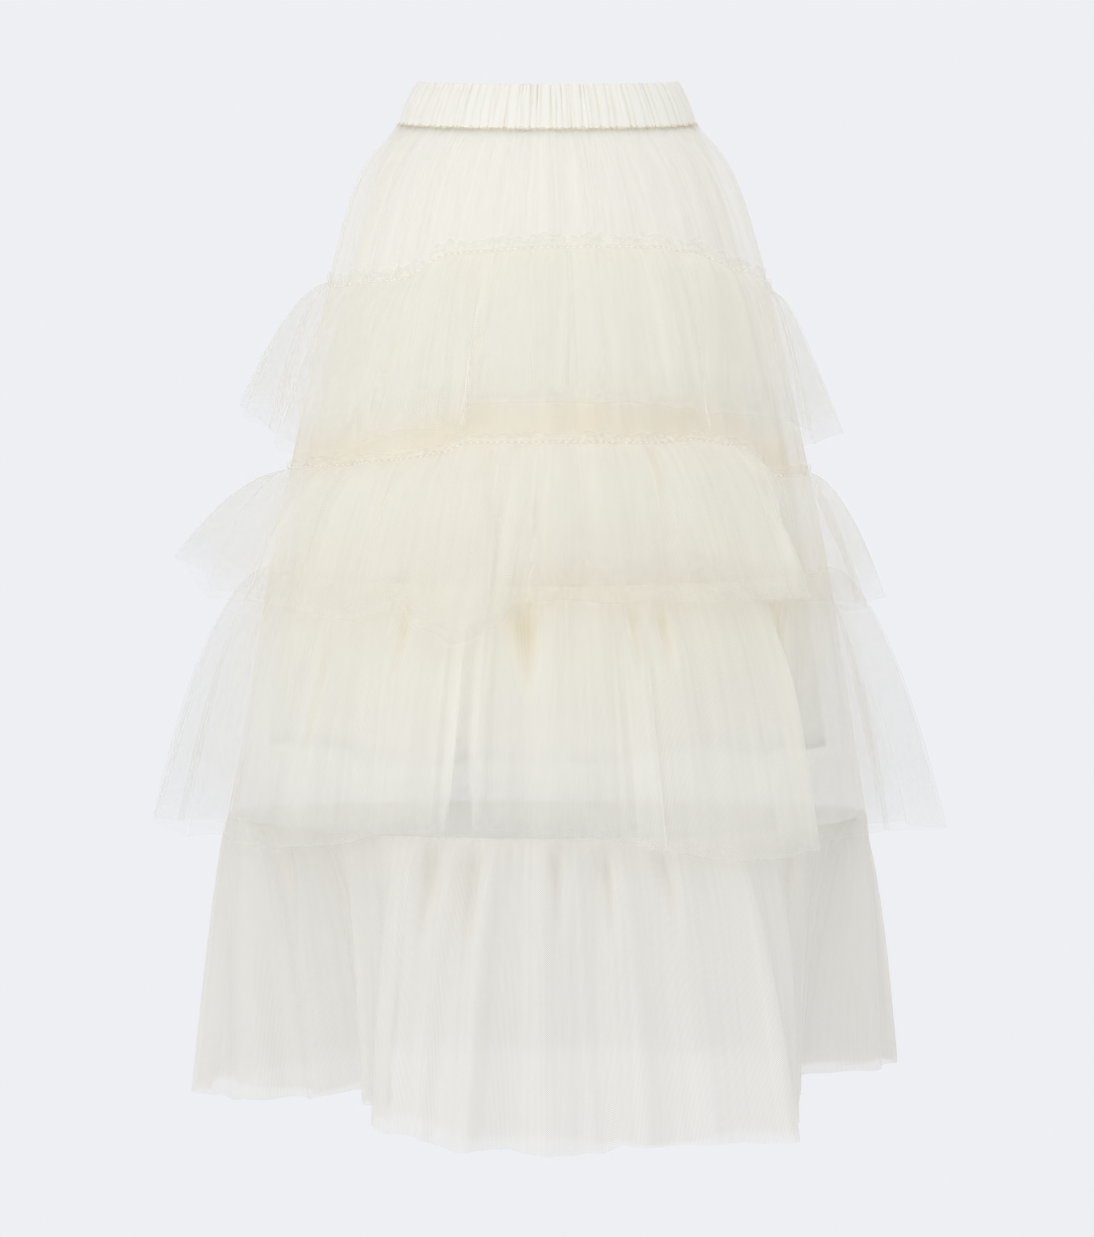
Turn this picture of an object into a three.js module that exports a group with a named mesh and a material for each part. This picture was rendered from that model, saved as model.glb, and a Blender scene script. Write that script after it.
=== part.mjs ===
// A tiered skirt of soft net on an elasticated waistband, filled out as when it is worn.
// Millimetres, +Z up. The front faces -Y and the wearer's left hand is at +X.
// The origin is on the upright axis, at the middle of the waistband that holds the skirt up.
// A reach is a distance from the axis. A drop is a depth below the waistband's top edge at the sides.
import * as THREE from "three";

// Driving sizes.
const ORIGIN_DROP = 22; // the waistband's middle
const BAND_WALL = 3.8; // from the gathers' crests to the inside, round the elastic
const NET_WALL = 2; // net, doubled in the ruffles
const LINING_WALL = 1.5;
const SEAM_GAP = 0.3; // between sewn pieces
const COLUMNS = 112; // round the net
const LINING_COLUMNS = 56;
const BAND_COLUMNS = 224; // four to a gather
const HEADING_HEIGHT = 7; // the raw frill above a ruffle's stitching
const HEADING_FLARE = 3;
const LINING_INSET = 0.3 + NET_WALL; // the lining's top edge lies inside the net's

// Gathers round the whole skirt, and how deep each is at its fullest.
const BAND_GATHERS = { count: 56, depth: 1.4, seed: 0.7 };
const CARRIER_GATHERS = { count: 32, depth: 3, seed: 2.1 };

const { lerp, degToRad, radToDeg, euclideanModulo } = THREE.MathUtils;
const smooth = (t) => t * t * (3 - 2 * t);

// A table from its column names and its rows.
const table = (names, rows) => rows.map((row) => Object.fromEntries(names.map((name, i) => [name, row[i]])));

// How a section's drop goes round the body. The share runs from -1, middle front, to 1, middle back.
const tilted = (sides, front, back) => (angle, share) =>
  lerp(sides, share < 0 ? front : back, Math.abs(share));
const follows = (line) => (angle) => aroundTable(line, "drop", angle);

// The lines on which ruffles 1 and 2 are stitched, with their rises at the front.
// An angle goes from the wearer's left hand, +X, towards the back.
const LINE = ["at", "drop"];
const STITCH_LINE_1 = table(LINE, [
  [0, 202],
  [30, 196],
  [62, 189],
  [90, 192],
  [122, 188],
  [150, 195],
  [180, 194],
  [201, 204],
  [224, 204],
  [240, 183],
  [270, 179],
  [305, 177],
  [318, 180],
  [331, 191],
]);
const STITCH_LINE_2 = table(LINE, [
  [0, 377],
  [32, 371],
  [60, 364],
  [90, 367],
  [118, 363],
  [150, 370],
  [188, 374],
  [215, 375],
  [233, 372],
  [243, 367],
  [250, 358],
  [298, 358],
  [308, 354],
  [319, 358],
  [333, 384],
]);

// Sections across the body: the reach on each of four sides, and the drop.
const SECTION = ["left", "right", "front", "back", "drop"];

// The waistband dips at the front.
const BAND_SECTIONS = table(SECTION, [
  [125, 127, 96, 94, tilted(0, 18, -12)],
  [136, 137, 104, 102, tilted(21, 41, 8)],
  [143, 144, 110, 108, tilted(41, 63, 28)],
]);

// The net underskirt that carries the ruffles, with how deep its gathers are.
const CARRIER_SECTIONS = table([...SECTION, "gather"], [
  [143, 144, 110, 108, tilted(41.3, 63.3, 28.3), 0],
  [178, 178, 138, 138, tilted(94, 110, 86), 0.8],
  [207, 210, 164, 168, follows(STITCH_LINE_1), 1],
  [245, 248, 200, 206, follows(STITCH_LINE_2), 1],
  [264, 266, 222, 228, tilted(466, 488, 476), 1],
  [300, 302, 250, 256, tilted(700, 711, 706), 1],
]);
const RUFFLE_1_SEAM = 2; // rows of the carrier
const RUFFLE_2_SEAM = 3;
const RUFFLE_3_SEAM = 4;
const RUFFLE_4_SEAM = 5;

// The opaque lining that shows through the net.
const LINING_SECTIONS = table(SECTION, [
  [143, 144, 110, 108, tilted(41.3, 63.3, 28.3)],
  [168, 168, 128, 128, tilted(94, 110, 86)],
  [232, 234, 186, 192, tilted(366, 350, 362)],
  [268, 270, 220, 226, tilted(634, 642, 640)],
]);

// How a ruffle leaves its seam: shares of the way out and down to its hem, and of its waves' depth.
const PROFILE = ["out", "down", "wave"];
const FLARED = table(PROFILE, [
  [0.41, 0.21, 0.35],
  [0.68, 0.55, 0.6],
  [0.9, 0.84, 0.85],
  [1, 1, 1],
]);
const LONG = table(PROFILE, [
  [0.45, 0.22, 0.35],
  [0.7, 0.56, 0.6],
  [0.91, 0.83, 0.85],
  [1, 1, 1],
]);

// Each ruffle's hem, with a row for each large fold: its angle, its reach and its drop.
// A pleat is cloth that is swung back round the skirt, under the fold beside it.
const HEM = ["at", "reach", "drop"];
const PLEAT = ["at", "spread", "swing"];
const RUFFLE_1 = {
  seam: RUFFLE_1_SEAM,
  heading: true,
  profile: FLARED,
  waves: { count: 24, depth: 5, seed: 0.4 },
  pleats: table(PLEAT, [
    [90, 12, 10],
    [258, 8, -7],
    [317, 9, -10],
  ]),
  hem: table(HEM, [
    [0, 279, 338],
    [12, 262, 346],
    [30, 258, 354],
    [48, 246, 344],
    [68, 240, 350],
    [90, 224, 342],
    [112, 240, 352],
    [132, 248, 344],
    [150, 262, 350],
    [168, 272, 336],
    [178, 297, 311],
    [190, 268, 338],
    [203, 260, 363],
    [222, 250, 367],
    [235, 240, 348],
    [246, 229, 348],
    [251, 226, 351],
    [255, 216, 331],
    [270, 213, 329],
    [290, 226, 331],
    [302, 238, 333],
    [308, 251, 347],
    [317, 234, 333],
    [326, 240, 332],
    [340, 248, 334],
    [353, 258, 351],
  ]),
};
const RUFFLE_2 = {
  seam: RUFFLE_2_SEAM,
  heading: true,
  profile: FLARED,
  waves: { count: 24, depth: 6, seed: 1.9 },
  pleats: table(PLEAT, [
    [71, 11, -12],
    [267, 8, -9],
    [333, 14, -20],
  ]),
  hem: table(HEM, [
    [0, 316, 497],
    [16, 316, 508],
    [34, 298, 498],
    [52, 298, 513],
    [71, 272, 502],
    [90, 286, 512],
    [110, 278, 500],
    [130, 304, 512],
    [150, 308, 500],
    [168, 330, 488],
    [180, 352, 458],
    [188, 330, 494],
    [204, 304, 501],
    [220, 296, 509],
    [232, 288, 518],
    [243, 282, 520],
    [249, 291, 545],
    [259, 289, 546],
    [264, 264, 507],
    [268, 274, 503],
    [272, 265, 502],
    [281, 276, 503],
    [291, 272, 502],
    [299, 290, 503],
    [309, 304, 501],
    [319, 305, 498],
    [333, 283, 500],
    [347, 302, 502],
  ]),
};
const RUFFLE_3 = {
  seam: RUFFLE_3_SEAM,
  heading: false,
  profile: LONG,
  waves: { count: 24, depth: 7, seed: 3.2 },
  pleats: table(PLEAT, [
    [68, 12, 12],
    [331, 14, -18],
  ]),
  hem: table(HEM, [
    [0, 377, 718],
    [10, 362, 718],
    [28, 344, 724],
    [48, 340, 713],
    [68, 314, 726],
    [90, 322, 716],
    [112, 328, 726],
    [134, 344, 713],
    [154, 352, 724],
    [170, 366, 714],
    [180, 376, 710],
    [189, 348, 723],
    [200, 326, 718],
    [214, 312, 724],
    [228, 304, 721],
    [242, 300, 706],
    [250, 305, 705],
    [255, 290, 662],
    [260, 304, 702],
    [269, 292, 704],
    [277, 304, 707],
    [283, 294, 712],
    [290, 304, 721],
    [299, 311, 728],
    [309, 322, 730],
    [317, 334, 723],
    [331, 302, 716],
    [345, 320, 716],
  ]),
};
const RUFFLE_4 = {
  seam: RUFFLE_4_SEAM,
  heading: false,
  profile: LONG,
  waves: { count: 24, depth: 8, seed: 4.6 },
  pleats: table(PLEAT, [
    [66, 12, -12],
    [114, 12, 12],
  ]),
  hem: table(HEM, [
    [0, 322, 948],
    [10, 350, 947],
    [26, 334, 966],
    [45, 328, 974],
    [66, 298, 968],
    [90, 320, 978],
    [114, 296, 970],
    [138, 330, 976],
    [160, 336, 970],
    [180, 339, 973],
    [192, 300, 968],
    [205, 246, 962],
    [219, 212, 951],
    [232, 246, 958],
    [244, 313, 968],
    [256, 308, 977],
    [270, 300, 982],
    [279, 302, 982],
    [282, 304, 974],
    [298, 328, 975],
    [307, 352, 974],
    [318, 300, 967],
    [331, 262, 957],
    [345, 242, 947],
  ]),
};

// A wave round the skirt, from -1 to 1, unevenly spaced and unevenly deep.
function wave({ count, seed }, angle) {
  const drift = 0.8 * Math.sin(3 * angle + seed) + 0.5 * Math.sin(7 * angle + 2 * seed);
  return Math.cos(count * angle + drift) * (0.8 + 0.2 * Math.sin(5 * angle + seed));
}

// Reads a column of a table that goes once round the body, easing from each row to the next.
function aroundTable(rows, column, angle) {
  const degrees = euclideanModulo(radToDeg(angle), 360);
  const after = rows.findIndex((row) => row.at > degrees);
  const next = rows[after < 0 ? 0 : after];
  const last = rows[after < 0 ? rows.length - 1 : after - 1];
  const span = next.at - last.at + (after < 0 ? 360 : 0);
  return lerp(last[column], next[column], smooth((degrees - last.at) / span));
}

// A section's reach and drop at an angle.
function onSection(row, angle) {
  const c = Math.cos(angle);
  const s = Math.sin(angle);
  const across = c < 0 ? row.left : row.right;
  const through = s < 0 ? row.front : row.back;
  const reach = 1 / Math.hypot(c / across, s / through);
  return { reach, drop: row.drop(angle, (reach * s) / through) };
}

const pointAt = (angle, reach, drop) =>
  new THREE.Vector3(reach * Math.cos(angle), reach * Math.sin(angle), ORIGIN_DROP - drop);

// A row's point moved level and square to the row, out of the skirt when the distance is positive.
function movedOut(row, angle, distance) {
  const step = 0.005; // radians, well under a column
  const along = row(angle + step).sub(row(angle - step));
  const outward = new THREE.Vector3(along.y, -along.x, 0).normalize();
  return row(angle).addScaledVector(outward, distance);
}

// A section's row, with its reach changed by so much at each angle.
const sectionRow = (section, change) => (angle) => {
  const { reach, drop } = onSection(section, angle);
  return pointAt(angle, reach + change(angle), drop);
};

// Rows of cloth, each a function from an angle to a point.
const bandRows = BAND_SECTIONS.map((section) =>
  sectionRow(section, (angle) => -BAND_GATHERS.depth * (1 - wave(BAND_GATHERS, angle))),
);
const bandInsideRows = BAND_SECTIONS.map((section) => sectionRow(section, () => -BAND_WALL));
const carrierRows = CARRIER_SECTIONS.map((section) =>
  sectionRow(section, (angle) => section.gather * CARRIER_GATHERS.depth * wave(CARRIER_GATHERS, angle)),
);
const liningRows = LINING_SECTIONS.map((section) => sectionRow(section, () => -LINING_INSET));

// How far the pleats swing the cloth round the skirt at an angle, in radians.
function swingAt(pleats, angle) {
  const degrees = radToDeg(angle);
  return pleats.reduce((sum, { at, spread, swing }) => {
    const aside = Math.min(1, Math.abs(degrees - at) / spread);
    return sum + degToRad(swing) * (1 - aside * aside) ** 2;
  }, 0);
}

// A ruffle's rows from its seam to its hem. The seam row lies on the carrier, a gap and a wall outside it,
// or under the carrier's lower edge where the ruffle lengthens it.
function ruffleRows({ seam, heading, profile, waves, pleats, hem }) {
  const lengthens = seam === carrierRows.length - 1;
  const offset = lengthens ? 0 : SEAM_GAP + NET_WALL;
  const carried = carrierRows[seam];
  const up = (point, height) => point.setZ(point.z + height);
  const sewn = (angle) => up(movedOut(carried, angle, offset), lengthens ? -SEAM_GAP : 0);
  const frill = (angle) => up(movedOut(carried, angle, offset + HEADING_FLARE), HEADING_HEIGHT);
  const fall = profile.map((row) => (angle) => {
    const top = onSection(CARRIER_SECTIONS[seam], angle);
    const reach = lerp(top.reach + offset, aroundTable(hem, "reach", angle), row.out);
    return pointAt(
      angle + row.down * swingAt(pleats, angle),
      reach + row.wave * waves.depth * wave(waves, angle),
      lerp(top.drop, aroundTable(hem, "drop", angle), row.down),
    );
  });
  return [...(heading ? [frill] : []), sewn, ...fall];
}

// One closed wall of cloth between two angles, or all the way round. Its outer points lie on the rows,
// and its inner points a wall inside them or on rows of their own.
function clothGeometry(rows, { start, end, columns, allRound, wall, insideRows }) {
  const count = allRound ? columns : columns + 1;
  const grid = { outer: [], inner: [] };
  rows.forEach((row, j) => {
    for (let i = 0; i < count; i++) {
      const angle = start + ((end - start) * i) / columns;
      const outer = row(angle);
      const inner = insideRows ? insideRows[j](angle) : movedOut(row, angle, -wall);
      if (!allRound && (i === 0 || i === columns)) {
        const side = Math.sign(Math.sin((start + end) / 2));
        outer.y += (side * SEAM_GAP) / 2;
        inner.y += (side * SEAM_GAP) / 2;
      }
      grid.outer.push(outer);
      grid.inner.push(inner);
    }
  });
  const points = [...grid.outer, ...grid.inner];
  const o = (j, i) => j * count + (i % count);
  const n = (j, i) => grid.outer.length + o(j, i);
  const index = [];
  const quad = (a, b, c, d) => index.push(a, b, c, a, c, d);
  const bottom = rows.length - 1;
  for (let i = 0; i < columns; i++) {
    for (let j = 0; j < bottom; j++) {
      quad(o(j, i), o(j + 1, i), o(j + 1, i + 1), o(j, i + 1));
      quad(n(j, i), n(j, i + 1), n(j + 1, i + 1), n(j + 1, i));
    }
    quad(o(0, i), o(0, i + 1), n(0, i + 1), n(0, i));
    quad(o(bottom, i), n(bottom, i), n(bottom, i + 1), o(bottom, i + 1));
  }
  for (let j = 0; j < bottom && !allRound; j++) {
    quad(o(j, 0), n(j, 0), n(j + 1, 0), o(j + 1, 0));
    quad(o(j, columns), o(j + 1, columns), n(j + 1, columns), n(j, columns));
  }
  const geometry = new THREE.BufferGeometry().setFromPoints(points).setIndex(index);
  geometry.computeVertexNormals();
  return geometry;
}

const cloth = (name, color, roughness) =>
  new THREE.MeshStandardMaterial({ name, color, roughness, metalness: 0 });
const bandCloth = cloth("band_cloth", 0xefebd9, 0.85);
const net = cloth("net", 0xebe8dc, 0.7);
const liningCloth = cloth("lining_cloth", 0xe9e2c8, 0.85);

const skirt = new THREE.Group();

function addPiece(name, geometry, material) {
  const mesh = new THREE.Mesh(geometry, material);
  mesh.name = name;
  skirt.add(mesh);
}

// A front and a back panel, sewn at the sides.
function addPanels(name, rows, { wall, columns }, material) {
  const front = { start: Math.PI, end: 2 * Math.PI, columns: columns / 2, wall };
  const back = { start: 0, end: Math.PI, columns: columns / 2, wall };
  addPiece(`${name}_front`, clothGeometry(rows, front), material);
  addPiece(`${name}_back`, clothGeometry(rows, back), material);
}

// The waistband's gathers stand on a plain inside, with the elastic within.
const wholeTurn = { start: 0, end: 2 * Math.PI, columns: BAND_COLUMNS, allRound: true };
addPiece("waistband", clothGeometry(bandRows, { ...wholeTurn, insideRows: bandInsideRows }), bandCloth);

const doubledNet = { wall: NET_WALL, columns: COLUMNS };
addPanels("carrier", carrierRows, doubledNet, net);
addPanels("lining", liningRows, { wall: LINING_WALL, columns: LINING_COLUMNS }, liningCloth);
addPanels("ruffle_1", ruffleRows(RUFFLE_1), doubledNet, net);
addPanels("ruffle_2", ruffleRows(RUFFLE_2), doubledNet, net);
addPanels("ruffle_3", ruffleRows(RUFFLE_3), doubledNet, net);
addPanels("ruffle_4", ruffleRows(RUFFLE_4), doubledNet, net);

export default skirt;
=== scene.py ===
import math
from collections import namedtuple

import bmesh
import bpy
import numpy as np
from bpy.props import FloatProperty, FloatVectorProperty, IntProperty, PointerProperty
from mathutils import Matrix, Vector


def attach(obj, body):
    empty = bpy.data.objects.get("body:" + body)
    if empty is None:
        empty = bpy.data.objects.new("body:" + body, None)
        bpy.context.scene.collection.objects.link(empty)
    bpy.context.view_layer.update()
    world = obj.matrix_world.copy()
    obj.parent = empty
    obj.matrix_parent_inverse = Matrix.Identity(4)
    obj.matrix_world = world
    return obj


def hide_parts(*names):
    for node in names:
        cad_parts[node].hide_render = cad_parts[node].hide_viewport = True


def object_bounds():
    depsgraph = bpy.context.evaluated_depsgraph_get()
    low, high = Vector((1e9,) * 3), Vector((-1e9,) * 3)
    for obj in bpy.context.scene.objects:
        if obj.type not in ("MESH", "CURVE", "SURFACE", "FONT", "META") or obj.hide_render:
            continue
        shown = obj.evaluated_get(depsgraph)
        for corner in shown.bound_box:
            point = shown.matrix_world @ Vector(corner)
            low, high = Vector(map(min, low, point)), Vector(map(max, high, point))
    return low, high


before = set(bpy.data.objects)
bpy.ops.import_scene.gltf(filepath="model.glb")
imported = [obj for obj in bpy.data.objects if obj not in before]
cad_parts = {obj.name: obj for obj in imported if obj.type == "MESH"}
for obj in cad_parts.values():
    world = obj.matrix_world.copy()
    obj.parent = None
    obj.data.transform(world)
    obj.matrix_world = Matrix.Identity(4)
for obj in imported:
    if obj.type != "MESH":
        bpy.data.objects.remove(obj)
CAD_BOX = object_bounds()

bl_info = {
    "name": "Tiered net skirt",
    "version": (1, 0, 0),
    "blender": (4, 5, 0),
    "location": "View3D > Sidebar > Skirt",
    "description": "Waistband, net underskirt, lining and four gathered ruffles of a tiered skirt",
    "category": "Add Mesh",
}

# Places on the skirt are in millimetres and objects in metres. An angle runs from the wearer's left
# hand, +X, towards the back. A reach is a distance from the upright axis, and a drop is a depth below
# the waistband's top edge at the sides.
MM = 0.001
ORIGIN_DROP = 22  # the waistband's middle
NET_OUTSET = 2.3  # a ruffle's seam outside the underskirt
LINING_INSET = 2.3  # the lining inside the underskirt
TURN = 2 * math.pi

# Sections across the body: the reach on each of four sides, and the drop at the sides, front and back.
Section = namedtuple("Section", "left right front back side_drop front_drop back_drop")
BAND = (
    Section(125, 127, 96, 94, 0, 18, -12),
    Section(136, 137, 104, 102, 21, 41, 8),
    Section(143, 144, 110, 108, 41, 63, 28),
)
UNDERSKIRT = (
    Section(143, 144, 110, 108, 41.3, 63.3, 28.3),
    Section(178, 178, 138, 138, 94, 110, 86),
    Section(207, 210, 164, 168, 194, 179, 192),
    Section(245, 248, 200, 206, 374, 358, 367),
    Section(264, 266, 222, 228, 466, 488, 476),
    Section(300, 302, 250, 256, 700, 711, 706),
)
LINING = (
    Section(143, 144, 110, 108, 41.3, 63.3, 28.3),
    Section(168, 168, 128, 128, 94, 110, 86),
    Section(232, 234, 186, 192, 366, 350, 362),
    Section(268, 270, 220, 226, 634, 642, 640),
)

# A valley between two lobes of a sheet: the angle at the seam and at the hem, the first and the last
# share of the fall that it runs through, its width in degrees, and its depth.
Valley = namedtuple("Valley", "top_at hem_at first last width depth")

# The deeper folds of the net between the waistband and ruffle 1.
YOKE_VALLEYS = (
    Valley(13, 14, 0.0, 0.3, 1.8, 4), Valley(41, 40, 0.0, 0.25, 1.4, 3),
    Valley(74, 76, 0.0, 0.3, 1.6, 4), Valley(103, 101, 0.0, 0.25, 1.6, 4),
    Valley(139, 141, 0.0, 0.3, 1.6, 4), Valley(171, 170, 0.0, 0.3, 1.8, 4),
    Valley(206, 200, 0.0, 0.3, 1.8, 4), Valley(229, 218, 0.04, 0.26, 1.8, 5),
    Valley(236, 250, 0.03, 0.24, 1.6, 5), Valley(263, 262, 0.0, 0.2, 1.3, 2.5),
    Valley(284, 284, 0.0, 0.22, 1.4, 2.5), Valley(303, 308, 0.0, 0.25, 1.4, 3),
    Valley(318, 326, 0.0, 0.28, 1.6, 4.5), Valley(331, 337, 0.0, 0.28, 1.6, 4),
)

# The lines on which ruffles 1 and 2 are stitched, for their levels of the underskirt: angle and drop.
STITCH_LINES = {
    2: (
        (0, 202), (30, 196), (62, 189), (90, 192), (122, 188), (150, 195), (180, 194),
        (201, 204), (224, 204), (240, 183), (270, 179), (305, 177), (318, 180), (331, 191),
    ),
    3: (
        (0, 377), (32, 371), (60, 364), (90, 367), (118, 363), (150, 370), (188, 374), (215, 375),
        (233, 372), (243, 367), (250, 358), (298, 358), (308, 354), (319, 358), (333, 384),
    ),
}

# A ruffle: its level of the underskirt, the raw heading above its stitching, the power of its flare
# from its seam, the depth and seed of its waves, its small gathers, its broad folds and their depth,
# the width its strips are cut to all round, the share of the light that one flat layer of its net
# stops, the shares of the net's colour that it has (for ruffle 4 a shaded copy) and that its painted
# shade in creases and valleys has, how much thinner it is at the sides, its pleats as (angle, spread,
# swing), its valleys and its hem as (angle, reach, drop).
Ruffle = namedtuple(
    "Ruffle",
    "level heading flare wave_depth wave_seed gathers folds fold_depth cut cover tone deep side_thin "
    "pleats valleys hem",
)

# Shares of the net's red, green and blue: the net itself; ruffle 4, a greyer, cooler copy of it that is
# painted shade for the dimmer light low on the skirt; and the painted shade in the creases of either.
PALE = (1.0, 1.0, 1.0)
SHADED_COOLER = (0.96, 0.955, 0.965)
AMBER_SHADE = (0.91, 0.77, 0.55)
OLIVE_SHADE = (0.88, 0.87, 0.81)

WAVES = 24
CARRIER_WAVES = 32  # of the underskirt's solid
CARRIER_WAVE_DEPTHS = (0, 2.4, 3, 3, 3, 3)  # at each of its levels
RUFFLES = {
    1: Ruffle(
        level=2, heading=11, flare=0.56, wave_depth=5, wave_seed=0.4,
        gathers=170, folds=30, fold_depth=5.4, cut=1.95, cover=0.3, tone=PALE,
        deep=AMBER_SHADE, side_thin=0.5,
        pleats=((90, 12, 10), (258, 10, -4), (317, 11, -8)),
        valleys=(
            Valley(22, 24, 0.2, 0.9, 1.6, 6), Valley(63, 60, 0.4, 1.0, 1.4, 6),
            Valley(108, 110, 0.3, 1.0, 1.5, 7), Valley(146, 143, 0.2, 0.9, 1.4, 5),
            Valley(198, 195, 0.1, 1.0, 1.6, 7), Valley(231, 229, 0.4, 1.0, 1.5, 5),
            Valley(254.5, 254, 0.5, 1.0, 1.2, 5), Valley(284, 285, 0.5, 1.0, 1.6, 3),
            Valley(340, 343, 0.1, 0.9, 1.6, 7),
        ),
        hem=(
            (0, 279, 338), (12, 262, 346), (30, 258, 354), (48, 246, 344), (68, 240, 350),
            (90, 224, 342), (112, 240, 352), (132, 248, 344), (150, 262, 350), (168, 272, 336),
            (178, 297, 311), (190, 268, 338), (203, 260, 363), (222, 250, 367), (235, 240, 348),
            (246, 229, 348), (251, 226, 351), (255, 216, 326), (270, 213, 323), (290, 226, 325),
            (302, 238, 328), (308, 251, 347), (317, 234, 333), (326, 240, 332), (340, 248, 334),
            (353, 258, 351),
        ),
    ),
    2: Ruffle(
        level=3, heading=8, flare=0.56, wave_depth=6, wave_seed=1.9,
        gathers=180, folds=30, fold_depth=6.4, cut=2.35, cover=0.3, tone=PALE,
        deep=AMBER_SHADE, side_thin=0.6,
        pleats=((71, 11, -12), (267, 10, -3), (333, 14, -20)),
        valleys=(
            Valley(14, 16, 0.1, 1.0, 1.7, 8), Valley(52, 49, 0.0, 0.8, 1.3, 8),
            Valley(97, 99, 0.3, 1.0, 1.4, 8), Valley(128, 130, 0.0, 0.7, 1.2, 7),
            Valley(163, 160, 0.2, 1.0, 1.6, 8), Valley(205, 201, 0.1, 0.9, 1.6, 8),
            Valley(233, 231, 0.0, 0.7, 1.2, 6), Valley(255.5, 264, 0.0, 1.0, 2.2, 6),
            Valley(268.5, 271.5, 0.4, 1.0, 1.8, 5), Valley(295, 294.5, 0.0, 0.7, 1.5, 9),
            Valley(318, 322, 0.2, 1.0, 1.4, 7), Valley(350, 353, 0.1, 1.0, 1.7, 8),
        ),
        hem=(
            (0, 316, 497), (16, 316, 508), (34, 298, 498), (52, 298, 513), (71, 272, 502),
            (90, 286, 512), (110, 278, 500), (130, 304, 512), (150, 308, 500), (168, 330, 488),
            (180, 352, 458), (188, 330, 494), (204, 304, 501), (220, 296, 509), (232, 288, 518),
            (241, 282, 512), (247, 289, 526), (254, 292, 539), (261, 286, 526), (268, 272, 504),
            (272, 265, 502), (281, 276, 503), (291, 272, 502), (299, 290, 503), (309, 304, 501),
            (319, 305, 498), (333, 283, 500), (347, 302, 502),
        ),
    ),
    3: Ruffle(
        level=4, heading=0, flare=0.54, wave_depth=7, wave_seed=3.2,
        gathers=180, folds=30, fold_depth=7.4, cut=2.6, cover=0.43, tone=PALE,
        deep=AMBER_SHADE, side_thin=0.8,
        pleats=((68, 12, 12), (331, 14, -18)),
        valleys=(
            Valley(18, 21, 0.0, 0.8, 1.8, 12), Valley(44, 42, 0.1, 0.7, 1.6, 12),
            Valley(82, 80, 0.1, 0.6, 1.4, 12), Valley(103, 105, 0.1, 0.9, 1.4, 10),
            Valley(137, 139, 0.1, 0.6, 1.6, 13), Valley(166, 163, 0.0, 0.9, 1.8, 12),
            Valley(197, 193, 0.0, 0.9, 1.9, 12), Valley(224, 222, 0.2, 0.9, 1.3, 8),
            Valley(240, 239, 0.06, 0.45, 1.4, 10), Valley(264.5, 268, 0.06, 0.5, 2.6, 16),
            Valley(288, 288.5, 0.06, 0.35, 1.4, 12), Valley(294.5, 293.5, 0.06, 0.35, 2.2, 14),
            Valley(322, 328, 0.1, 0.8, 2.8, 16), Valley(346, 350, 0.0, 0.9, 1.6, 10),
        ),
        hem=(
            (0, 377, 718), (10, 362, 718), (28, 344, 724), (48, 340, 713), (68, 314, 726),
            (90, 322, 716), (112, 328, 726), (134, 344, 713), (154, 352, 724), (170, 366, 714),
            (180, 376, 710), (189, 348, 723), (200, 326, 718), (214, 312, 724), (228, 304, 721),
            (242, 300, 706), (252.4, 304, 705), (254.2, 296, 662), (256.4, 296, 662),
            (258.2, 304, 703), (269, 292, 704), (277, 304, 707), (283, 294, 712), (290, 304, 721),
            (299, 311, 728), (309, 322, 730), (317, 334, 723), (331, 302, 716), (345, 320, 716),
        ),
    ),
    4: Ruffle(
        level=5, heading=0, flare=0.54, wave_depth=8, wave_seed=4.6,
        # Ruffle 4's net is a darker, cooler copy of the net: painted shade for the dimmer light low down.
        gathers=180, folds=32, fold_depth=7.6, cut=2.7, cover=0.6, tone=SHADED_COOLER,
        deep=OLIVE_SHADE, side_thin=0.1,
        pleats=((66, 15, -7), (114, 15, 7)),
        valleys=(
            Valley(12, 9, 0.0, 0.7, 1.6, 12), Valley(38, 41, 0.0, 0.6, 1.4, 12),
            Valley(88, 86, 0.0, 0.8, 1.4, 12), Valley(124, 127, 0.0, 0.6, 1.5, 12),
            Valley(152, 149, 0.0, 0.8, 1.5, 12), Valley(188, 186, 0.0, 0.5, 1.4, 8),
            Valley(208, 206, 0.0, 0.5, 1.3, 8), Valley(248, 246, 0.0, 0.4, 1.8, 12),
            Valley(255.5, 254, 0.0, 0.5, 1.8, 13), Valley(272, 273, 0.0, 0.35, 1.6, 8),
            Valley(281, 282, 0.0, 0.4, 1.8, 11), Valley(292, 294, 0.0, 0.35, 1.6, 10),
            Valley(324, 322, 0.0, 0.5, 1.4, 8),
        ),
        hem=(
            (0, 322, 948), (10, 350, 947), (26, 334, 966), (45, 328, 974), (66, 298, 968),
            (90, 320, 978), (114, 296, 970), (138, 330, 976), (160, 336, 970), (180, 339, 973),
            (192, 300, 968), (205, 246, 962), (219, 212, 951), (232, 246, 958), (244, 313, 968),
            (256, 308, 977), (270, 300, 982), (279, 302, 982), (282, 304, 974), (298, 328, 975),
            (307, 352, 974), (318, 300, 967), (331, 262, 957), (345, 242, 947),
        ),
    ),
}

# The photograph's camera, level with the middle of the picture.
CAMERA_DISTANCE = 3.05
CAMERA_HEIGHT = -0.4945
CAMERA_SENSOR = 36  # millimetres, the picture's height
PICTURE_HEIGHT = 1.1894  # what the picture spans at the axis

Lamp = namedtuple("Lamp", "name place aim size power")
LAMPS = (
    Lamp("key", (-3.0, -1.8, -0.8), (0, 0, -0.7), 2.2, 35),
    Lamp("top", (-0.6, -2.0, 2.2), (0, 0, -0.4), 1.6, 7),
    Lamp("front", (-0.8, -3.4, -0.2), (0, 0, -0.4), 2.4, 17),
    Lamp("right", (2.5, -1.5, 1.0), (0, 0, 0), 1.4, 15),
)
FLOOR_RADIUS = 12


# Shapes round the skirt


def all_round(columns):
    """The angle of each column of a sheet."""
    return np.arange(columns) / columns * TURN


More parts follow.
